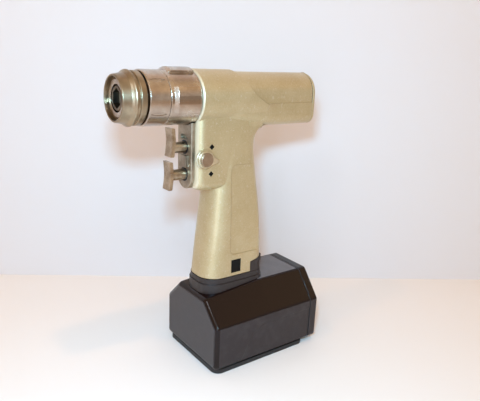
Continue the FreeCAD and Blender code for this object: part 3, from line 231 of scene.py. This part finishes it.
def ground_steel():
    """Bright ground bearing steel."""
    coat = Coat("ground_steel")
    rings = coat.noise(1, 1, 0.5, at=coat.place(scale=(60, 60, 60)))
    return coat.done(Base_Color=tone(200, 196, 192), Metallic=1.0, Roughness=rings * 0.1 + 0.14,
                     Normal=coat.soft_edges(0.0003))


def dark_steel():
    """Blackened steel of the motor's pieces."""
    return satin_steel("dark_steel", tone(64, 62, 62), tone(88, 86, 86), 0.4)


def battery_plastic():
    """Dark brown black moulded plastic: finely textured flat sides, a lighter front face and polished black edges.
    """
    coat = Coat("battery_plastic")
    across, along, up = coat.facing()
    flat = (across * across).above(0.955, 0.985) + (along * along).above(0.955, 0.985)
    front = (along * -1).above(0.9, 0.97)
    grain = coat.noise(1400, 2, 0.6)
    dust = coat.noise(90, 4, 0.7).above(0.45, 0.75)
    shade = coat.mix(flat, tone(20, 7, 7), tone(44, 36, 37))
    # The faces that look forward are painted a lighter grey.
    shade = coat.mix(front * 0.75, shade, tone(64, 60, 62))
    shade = coat.mix(dust * flat * 0.22, shade, tone(80, 74, 75))
    normal = coat.bump(grain * flat, 0.00006, 0.4, over=coat.soft_edges(0.0006))
    return coat.done(Base_Color=shade, Roughness=flat * 0.26 + 0.13, Specular_IOR_Level=0.33, Normal=normal)


def moulded(name, base, rough, grain_height=0.00005):
    """Plain moulded plastic or rubber with a fine grain."""
    coat = Coat(name)
    grain = coat.noise(1100, 3, 0.6)
    cloud = coat.noise(80, 3, 0.6)
    lighter = tuple(min(1.0, c * 1.35 + 0.004) for c in base[:3]) + (1.0,)
    shade = coat.mix(cloud.above(0.35, 0.7) * 0.6, base, lighter)
    normal = coat.bump(grain, grain_height, 0.5, over=coat.soft_edges(0.0004))
    return coat.done(Base_Color=shade, Roughness=cloud * 0.1 + rough, Normal=normal)


def coiled_wire():
    """Bright spring wire."""
    coat = Coat("coiled_wire")
    marks = coat.noise(300, 2, 0.5)
    return coat.done(Base_Color=tone(170, 168, 165), Metallic=1.0, Roughness=marks * 0.15 + 0.2)


def circuit_board():
    """Green lacquered board with pale tracks."""
    coat = Coat("circuit_board")
    tracks = coat.node("ShaderNodeTexBrick", {"offset": 0.5}, {
        "Vector": coat.place(turn=(1.5708, 0, 0)), "Scale": 260.0, "Color1": tone(20, 78, 42),
        "Color2": tone(26, 92, 50), "Mortar": tone(120, 140, 90), "Mortar Size": 0.02})
    return coat.done(Base_Color=tracks, Roughness=0.4)


def cell_sleeve():
    """Shrink sleeve of the cells."""
    coat = Coat("cell_sleeve")
    cloud = coat.noise(60, 2, 0.5)
    return coat.done(Base_Color=coat.mix(cloud, tone(40, 78, 120), tone(52, 92, 136)), Roughness=0.35)


def plated_contact():
    """Plated contact metal."""
    coat = Coat("plated_contact")
    marks = coat.noise(400, 2, 0.5)
    return coat.done(Base_Color=tone(206, 172, 92), Metallic=1.0, Roughness=marks * 0.12 + 0.18)


def dress_nodes():
    """Gives each piece of the drill its finish, and hands back the coat of the housing."""
    champagne = champagne_coat()
    finishes = {
        champagne: ["main_housing", "rear_cover"],
        turned_steel("sleeve_steel", tone(150, 135, 114), tone(176, 158, 132), 0.28): ["release_sleeve"],
        turned_steel("barrel_steel", tone(178, 163, 150), tone(204, 193, 180), 0.2): [
            "barrel_sleeve", "nose_bush"],
        # The collar's last tone is painted shade for its flat lug faces.
        turned_steel("collar_steel", tone(178, 163, 150), tone(204, 193, 180), 0.2, tone(150, 132, 116)): [
            "speed_collar"],
        turned_steel("spindle_steel", tone(96, 86, 76), tone(132, 118, 100), 0.25): ["output_spindle"],
        ground_steel(): ["front_bearing", "rear_bearing", "motor_front_bearing", "motor_rear_bearing"],
        satin_steel(): ["trigger_block", "ring_gear", "planet_gear_1", "planet_gear_2", "planet_gear_3",
                        "planet_pins", "sun_pinion"],
        satin_steel("trigger_steel", tone(152, 134, 112), tone(196, 180, 158), 0.22): [
            "upper_trigger", "lower_trigger", "block_screws", "rear_cover_screws"],
        dark_steel(): ["rotor", "motor_stator", "motor_front_plate", "motor_rear_plate"],
        coiled_wire(): ["sleeve_spring", "stop_ring", "upper_trigger_spring", "lower_trigger_spring",
                        "latch_spring"],
        moulded("seal_rubber", tone(24, 23, 23), 0.55): ["stem_seals", "rear_gasket", "battery_gasket"],
        satin_steel("lever_steel", tone(206, 193, 164), tone(228, 216, 190), 0.34): ["selector_lever"],
        satin_steel("button_steel", tone(158, 139, 120), tone(182, 162, 142), 0.3): ["selector_button"],
        battery_plastic(): ["battery_shell", "battery_rear_cap"],
        moulded("foot_plastic", tone(26, 23, 24), 0.45): ["battery_foot"],
        moulded("neck_plastic", tone(35, 27, 27), 0.36): [
            "battery_neck", "latch_button", "cell_frame", "contact_block"],
        moulded("plate_plastic", tone(94, 93, 98), 0.42): ["battery_top_plate"],
        cell_sleeve(): ["battery_cells"],
        circuit_board(): ["battery_board", "control_board"],
        plated_contact(): ["battery_contacts"],
    }
    for material, names in finishes.items():
        for name in names:
            mesh = nodes[name].data
            mesh.materials.clear()
            mesh.materials.append(material)
    return champagne


def pull(piece, picked, step):
    """Moves the points that are picked by their place, given in millimetres."""
    bpy.ops.object.mode_set(mode="EDIT")
    bpy.ops.mesh.select_all(action="DESELECT")
    bpy.ops.object.mode_set(mode="OBJECT")
    for vertex in piece.data.vertices:
        vertex.select = picked(*(vertex.co / MM))
    bpy.ops.object.mode_set(mode="EDIT")
    bpy.ops.transform.translate(value=[part * MM for part in step])
    bpy.ops.object.mode_set(mode="OBJECT")


def blend_wedge(name, low, high, swell, coat):
    """A soft wedge on each flank that fills a step: swell moves the outer points of its rows, front row first."""
    bpy.ops.object.select_all(action="DESELECT")
    middle = [(a + b) / 2 * MM for a, b in zip(low, high)]
    bpy.ops.mesh.primitive_cube_add(size=1, location=middle)
    wedge = bpy.context.object
    wedge.name = name
    wedge.scale = [(b - a) * MM for a, b in zip(low, high)]
    bpy.ops.object.transform_apply(location=True, rotation=True, scale=True)
    bpy.ops.object.mode_set(mode="EDIT")
    bpy.ops.mesh.select_all(action="SELECT")
    bpy.ops.mesh.subdivide(number_cuts=2)
    bpy.ops.object.mode_set(mode="OBJECT")
    for row, moves in enumerate(swell):
        for level, move in enumerate(moves):
            along = low[1] + (high[1] - low[1]) * row / 3
            height = low[2] + (high[2] - low[2]) * level / 3
            pull(wedge, lambda x, y, z: x > high[0] - 0.01 and abs(y - along) < 0.1 and abs(z - height) < 0.1,
                 (move, 0, 0))
    bpy.ops.object.modifier_add(type="SUBSURF")
    wedge.modifiers[0].subdivision_type = "SIMPLE"
    wedge.modifiers[0].levels = 1
    wedge.modifiers[0].render_levels = 1
    bpy.ops.object.modifier_apply(modifier=wedge.modifiers[0].name)
    bpy.ops.object.modifier_add(type="MIRROR")
    bpy.ops.object.modifier_apply(modifier=wedge.modifiers[0].name)
    bpy.ops.object.shade_smooth_by_angle(angle=math.radians(50))
    wedge.data.materials.append(coat)
    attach(wedge, "handpiece")


def housing_blends(coat):
    """Fillings that carry the trigger head and the hood smoothly into the rear body."""
    blend_wedge("underbody_blend", (11.0, 19.6, 198.0), (15.2, 33.4, 204.2), (
        (0.25, 0.3, 0.35, 0.6), (0.05, 0.12, 0.55, 1.3), (-0.9, -0.1, 0.5, 1.8), (-3.2, -0.25, 0.4, 1.95)), coat)
    blend_wedge("hood_blend", (17.0, 34.2, 210.5), (18.15, 47.0, 217.65), (
        (-0.1, 0.95, 1.95, 2.6), (-0.05, 0.6, 1.1, 1.4), (-0.02, 0.2, 0.38, 0.5), (-0.05, -0.05, -0.05, -0.05)),
        coat)


def pressed_springs():
    """The return springs, as welded, smooth shaded copies that stand in for the spring pieces and ride on their
    bodies.
    """
    for node, joint, body, travel, seat_behind in (
        ("sleeve_spring", "sleeve_slide", "handpiece", 3.0, False),
        ("upper_trigger_spring", "upper_trigger_press", "handpiece", 6.0, True),
        ("lower_trigger_spring", "lower_trigger_press", "handpiece", 6.0, True),
        ("latch_spring", "latch_press", "battery", 2.5, False),
    ):
        spring = bpy.data.objects.new(node + "_coil", nodes[node].data.copy())
        bpy.context.scene.collection.objects.link(spring)
        bpy.ops.object.select_all(action="DESELECT")
        spring.select_set(True)
        bpy.context.view_layer.objects.active = spring
        bpy.ops.object.mode_set(mode="EDIT")
        bpy.ops.mesh.select_all(action="SELECT")
        bpy.ops.mesh.remove_doubles(threshold=0.002 * MM)
        bpy.ops.object.mode_set(mode="OBJECT")
        bpy.ops.object.shade_smooth_by_angle(angle=math.radians(60))
        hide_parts(node)
        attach(spring, body)
        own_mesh(spring)


def mode_marks():
    """Two black diamond marks printed beside the mode selector."""
    coat = Coat("mark_ink")
    cloud = coat.noise(900, 2, 0.5)
    ink = coat.done(Base_Color=coat.mix(cloud, tone(10, 9, 8), tone(20, 18, 16)), Roughness=0.6,
                    Specular_IOR_Level=0.1)
    for number, (along, height) in enumerate(((-15.7, 185.6), (-15.9, 164.5)), start=1):
        bpy.ops.object.select_all(action="DESELECT")
        bpy.ops.mesh.primitive_cylinder_add(
            vertices=4, radius=2.3 * MM, depth=0.12 * MM, location=(15.52 * MM, along * MM, height * MM),
            rotation=(0, math.pi / 2, 0))
        mark = bpy.context.object
        mark.name = f"mode_mark_{number}"
        bpy.ops.object.transform_apply(location=True, rotation=True, scale=True)
        mark.data.materials.append(ink)
        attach(mark, "handpiece")


def badge_plate():
    """Small bare black plate set in the side of the grip above the battery."""
    coat = Coat("badge_black")
    cloud = coat.noise(500, 2, 0.5)
    black = coat.done(Base_Color=coat.mix(cloud, tone(12, 11, 10), tone(22, 20, 19)), Roughness=0.5,
                      Specular_IOR_Level=0.12)
    bpy.ops.object.select_all(action="DESELECT")
    bpy.ops.mesh.primitive_cube_add(size=1, location=(18.22 * MM, 10.0 * MM, 83.2 * MM))
    plate = bpy.context.object
    plate.name = "badge_plate"
    plate.scale = (0.3 * MM, 9.6 * MM, 11.4 * MM)
    bpy.ops.object.transform_apply(location=True, rotation=True, scale=True)
    bpy.ops.object.modifier_add(type="BEVEL")
    plate.modifiers["Bevel"].width = 0.08 * MM
    plate.modifiers["Bevel"].segments = 2
    bpy.ops.object.modifier_apply(modifier="Bevel")
    plate.data.materials.append(black)
    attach(plate, "handpiece")


def paper(name, corners, colour, one_sided=False):
    """A pale sheet that the drill stands on or in front of. A one sided sheet isn't there from behind."""
    mesh = bpy.data.meshes.new(name)
    mesh.from_pydata([tuple(corner) for corner in corners], [], [(0, 1, 2, 3)])
    sheet = bpy.data.objects.new(name, mesh)
    bpy.context.scene.collection.objects.link(sheet)
    coat = Coat("studio_" + name)
    cloud = coat.noise(4, 2, 0.5)
    shade = coat.mix(cloud * 0.1, colour, (1, 1, 1, 1))
    mesh.materials.append(coat.done(Base_Color=shade, Roughness=0.9, Specular_IOR_Level=0.0))
    if one_sided:
        behind = coat.node("ShaderNodeNewGeometry", output=6)
        clear = coat.node("ShaderNodeBsdfTransparent")
        seen = coat.node("ShaderNodeMixShader", None, {0: behind, 1: Value(coat, coat.shader.outputs[0]), 2: clear})
        coat.feed(coat.tree.nodes["Material Output"].inputs[0], seen)


def softbox(name, spot, wide, high, power, colour, mirrored=True):
    """A rectangular lamp turned towards the drill, that shiny steel mirrors or not."""
    data = bpy.data.lights.new(name, "AREA")
    data.shape = "RECTANGLE"
    data.size = wide
    data.size_y = high
    data.energy = power
    data.color = colour
    lamp = bpy.data.objects.new(name, data)
    bpy.context.scene.collection.objects.link(lamp)
    lamp.location = spot
    lamp.rotation_euler = (Vector((0, 0, 0.12)) - Vector(spot)).to_track_quat("-Z", "Y").to_euler()
    lamp.visible_glossy = mirrored


def room():
    """A warm room all round, brighter overhead, that the steel reflects."""
    world = bpy.data.worlds.new("room")
    bpy.context.scene.world = world
    world.use_nodes = True
    tree = world.node_tree
    background = tree.nodes["Background"]
    up = tree.nodes.new("ShaderNodeSeparateXYZ")
    tree.links.new(tree.nodes.new("ShaderNodeTexCoord").outputs[0], up.inputs[0])
    ramp = tree.nodes.new("ShaderNodeValToRGB")
    tree.links.new(up.outputs[2], ramp.inputs[0])
    stops = ramp.color_ramp.elements
    stops[0].position = 0.0
    stops[0].color = ROOM_LOW
    stops[1].position = 1.0
    stops[1].color = ROOM_TOP
    for place, shade in ((0.27, ROOM_DIM), (0.5, ROOM_MIDDLE)):
        stops.new(place).color = shade
    tree.links.new(ramp.outputs[0], background.inputs[0])
    background.inputs[1].default_value = ROOM_STRENGTH


def studio():
    """Pale table and wall, a warm room, a small flash above the camera and two warm ceiling lamps."""
    along = Vector((0.536, 0.844, 0)).normalized()
    foot = Vector((-0.110, 0.112, -0.002))
    rise = Vector((0, 0, 1.5))
    left, right = foot - along * 1.6, foot + along * 1.8
    paper("table", ((-1.6, -1.8, 0), (1.9, -1.8, 0), (1.9, 1.9, 0), (-1.6, 1.9, 0)), TABLE_PAPER)
    paper("wall", (left, right, right + rise, left + rise), WALL_PAPER, one_sided=True)
    room()
    softbox("flash", (0.320, -0.236, 0.327), 0.045, 0.03, FLASH_POWER, FLASH_COLOUR)
    softbox("side_strip", (0.40, -0.42, 0.16), 0.09, 0.42, STRIP_POWER, (0.72, 0.82, 1.0))
    softbox("window", (0.345, -0.49, 0.71), 0.12, 0.12, WINDOW_POWER, (0.85, 0.92, 1.0))
    softbox("ceiling_lamp", (0.30, 0.0, 1.10), 0.04, 0.04, CEILING_POWER, (1.0, 0.50, 0.18), mirrored=False)
    softbox("front_lamp", (0.0, -0.55, 1.10), 0.04, 0.04, FRONT_POWER, (1.0, 0.50, 0.18), mirrored=False)


def camera():
    """The photograph's viewing angle."""
    data = bpy.data.cameras.new("view")
    view = bpy.data.objects.new("view", data)
    bpy.context.scene.collection.objects.link(view)
    right = Vector((0.590582, 0.805919, 0.041327))
    up = Vector((-0.241004, 0.127271, 0.962143))
    back = Vector((0.770149, -0.578184, 0.269394))
    turn = Matrix((right, up, back)).transposed().to_4x4()
    view.matrix_world = Matrix.Translation(Vector((346.16, -234.93, 255.27)) * MM) @ turn
    data.sensor_fit = "HORIZONTAL"
    data.sensor_width = 36.0
    data.lens = 39.179
    data.shift_y = -0.00104
    data.clip_start = 0.01
    bpy.context.scene.camera = view


housing_blends(dress_nodes())
pressed_springs()
mode_marks()
badge_plate()
studio()
camera()
bpy.context.scene.view_settings.view_transform = "Standard"
